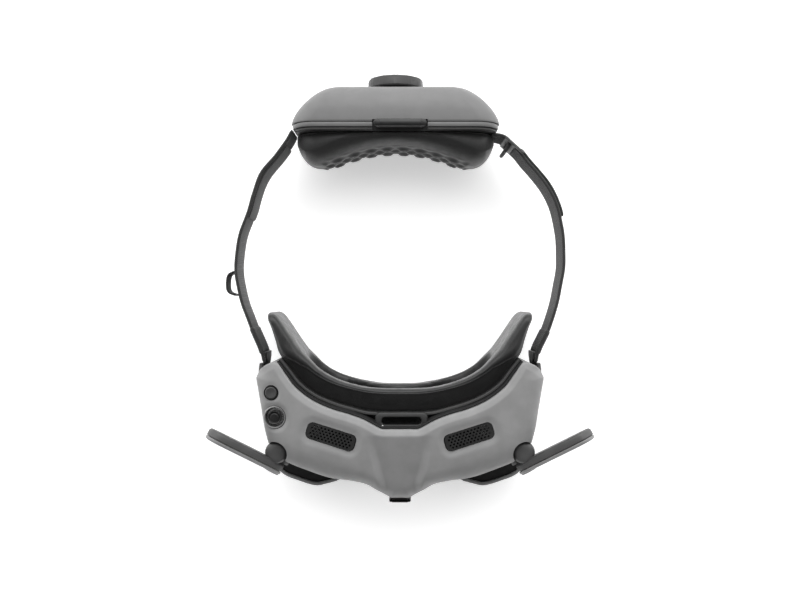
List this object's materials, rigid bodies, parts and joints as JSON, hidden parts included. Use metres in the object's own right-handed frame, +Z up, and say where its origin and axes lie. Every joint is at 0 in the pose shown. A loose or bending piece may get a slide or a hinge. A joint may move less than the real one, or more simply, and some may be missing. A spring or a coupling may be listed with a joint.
{
  "type": "fpv goggles",
  "caption": "Video goggles with folding antennas, a soft face seal, side straps and a padded battery pack with a tightening dial behind the head.",
  "frame": {"origin": "under the middle of the whole object's box, on the surface it rests on", "axes": "+Y to the back of the wearer's head, +Z up, and +X to the side without the joystick; the wearer looks along -Y"},
  "size_m": [0.2158, 0.251, 0.0809],
  "materials": {
    "shell": "fine matt moulded grey",
    "dark_plastic": "satin charcoal",
    "black_plastic": "smooth black",
    "antenna_plastic": "satin mid grey",
    "seal_leather": "soft black synthetic leather with a low sheen",
    "pad_leather": "soft black synthetic leather with a low sheen",
    "webbing": "tight charcoal weave",
    "steel": "plain bright steel",
    "lens_glass": "clear coated glass",
    "screen": "dark glossy panel",
    "circuit_board": "green board",
    "cell_wrap": "blue shrink wrap",
    "aluminium": "bare extruded"
  },
  "bodies": {
    "goggles": {"top_shell": "shell", "bottom_shell": "shell", "left_dock_panel": "dark_plastic", "right_dock_panel": "dark_plastic", "nose_window": "black_plastic", "left_vent_mesh": "black_plastic", "right_vent_mesh": "black_plastic", "front_strap_loop": "dark_plastic", "optics_frame": "black_plastic", "face_seal_frame": "dark_plastic", "face_cushion": "seal_leather", "mainboard": "circuit_board", "heat_sink": "aluminium", "fan_housing": "black_plastic", "joystick_collar": "antenna_plastic", "data_port": "steel", "left_antenna_knuckle": "dark_plastic", "right_antenna_knuckle": "dark_plastic", "left_antenna_pin": "steel", "right_antenna_pin": "steel", "left_temple_lug": "antenna_plastic", "right_temple_lug": "antenna_plastic", "left_lug_pin": "steel", "right_lug_pin": "steel"},
    "headband": {"left_strap": "webbing", "right_strap": "webbing", "left_strap_end": "dark_plastic", "right_strap_end": "dark_plastic", "strap_pull_loop": "webbing", "right_buckle": "antenna_plastic", "pack_rear_cover": "shell", "pack_mid_frame": "dark_plastic", "pack_pad": "pad_leather", "lower_cell": "cell_wrap", "upper_cell": "cell_wrap", "battery_board": "circuit_board", "rear_strap_loop": "dark_plastic"},
    "dial": {"tightening_dial": "dark_plastic", "dial_shaft": "steel"},
    "power_key": {"power_button": "dark_plastic"},
    "fan": {"fan_rotor": "dark_plastic"},
    "back_key": {"back_button": "black_plastic"},
    "stick_ring": {"joystick_gimbal": "steel"},
    "stick_stem": {"joystick_stem": "steel"},
    "stick_cap": {"joystick_cap": "black_plastic"},
    "left_antenna": {"left_antenna_back_shell": "antenna_plastic", "left_antenna_front_shell": "shell"},
    "left_eye": {"left_eye_carriage": "dark_plastic", "left_display_panel": "screen"},
    "left_lens": {"left_lens_barrel": "black_plastic", "left_eye_lens": "lens_glass"},
    "left_diopter": {"left_diopter_knob": "dark_plastic"},
    "right_antenna": {"right_antenna_back_shell": "antenna_plastic", "right_antenna_front_shell": "shell"},
    "right_eye": {"right_eye_carriage": "dark_plastic", "right_display_panel": "screen"},
    "right_lens": {"right_lens_barrel": "black_plastic", "right_eye_lens": "lens_glass"},
    "right_diopter": {"right_diopter_knob": "dark_plastic"}
  },
  "joints": [
    {"name": "headband_tilt", "type": "hinge", "parent": "goggles", "child": "headband", "pos_m": [0, -0.0483, 0.035], "axis": [1, 0, 0], "range_deg": [-10, 30]},
    {"name": "dial_turn", "type": "hinge", "parent": "headband", "child": "dial", "pos_m": [-0.0026, 0.12, 0.029], "axis": [0, 1, 0], "continuous": true},
    {"name": "power_press", "type": "slide", "parent": "headband", "child": "power_key", "axis": [0, -1, 0], "range_m": [0, 0.0008], "stiffness_N_per_m": 600},
    {"name": "fan_spin", "type": "hinge", "parent": "goggles", "child": "fan", "pos_m": [0, -0.097, 0.06], "axis": [0, 0, 1], "continuous": true},
    {"name": "back_button_press", "type": "slide", "parent": "goggles", "child": "back_key", "axis": [0, 0, -1], "range_m": [0, 0.0006], "stiffness_N_per_m": 500},
    {"name": "joystick_tilt_x", "type": "hinge", "parent": "goggles", "child": "stick_ring", "pos_m": [-0.0703, -0.0735, 0.0594], "axis": [1, 0, 0], "range_deg": [-7, 7], "stiffness_Nm_per_rad": 0.02},
    {"name": "joystick_tilt_y", "type": "hinge", "parent": "stick_ring", "child": "stick_stem", "pos_m": [-0.0703, -0.0735, 0.0594], "axis": [0, 1, 0], "range_deg": [-7, 7], "stiffness_Nm_per_rad": 0.02},
    {"name": "joystick_press", "type": "slide", "parent": "stick_stem", "child": "stick_cap", "axis": [0, 0, -1], "range_m": [0, 0.0003], "stiffness_N_per_m": 600},
    {"name": "left_antenna_fold", "type": "hinge", "parent": "goggles", "child": "left_antenna", "pos_m": [-0.073, -0.1036, 0.047], "axis": [0.3689, 0.9131, -0.1736], "range_deg": [0, 138]},
    {"name": "left_eye_slide", "type": "slide", "parent": "goggles", "child": "left_eye", "axis": [-1, 0, 0], "range_m": [-0.004, 0.004]},
    {"name": "left_lens_focus", "type": "slide", "parent": "left_eye", "child": "left_lens", "axis": [0, 1, 0], "range_m": [-0.0025, 0.0025]},
    {"name": "left_diopter_turn", "type": "hinge", "parent": "left_eye", "child": "left_diopter", "pos_m": [-0.032, -0.09, 0.005], "axis": [0, 0, 1], "range_deg": [-152, 152]},
    {"name": "right_antenna_fold", "type": "hinge", "parent": "goggles", "child": "right_antenna", "pos_m": [0.073, -0.1036, 0.047], "axis": [0.3689, -0.9131, 0.1736], "range_deg": [0, 138]},
    {"name": "right_eye_slide", "type": "slide", "parent": "goggles", "child": "right_eye", "axis": [1, 0, 0], "range_m": [-0.004, 0.004]},
    {"name": "right_lens_focus", "type": "slide", "parent": "right_eye", "child": "right_lens", "axis": [0, 1, 0], "range_m": [-0.0025, 0.0025]},
    {"name": "right_diopter_turn", "type": "hinge", "parent": "right_eye", "child": "right_diopter", "pos_m": [0.032, -0.09, 0.005], "axis": [0, 0, 1], "range_deg": [-152, 152]}
  ],
  "couplings": [
    {"joint": "left_diopter_turn", "follows": "left_lens_focus", "rad_per_m": 1050},
    {"joint": "right_diopter_turn", "follows": "right_lens_focus", "rad_per_m": 1050}
  ]
}
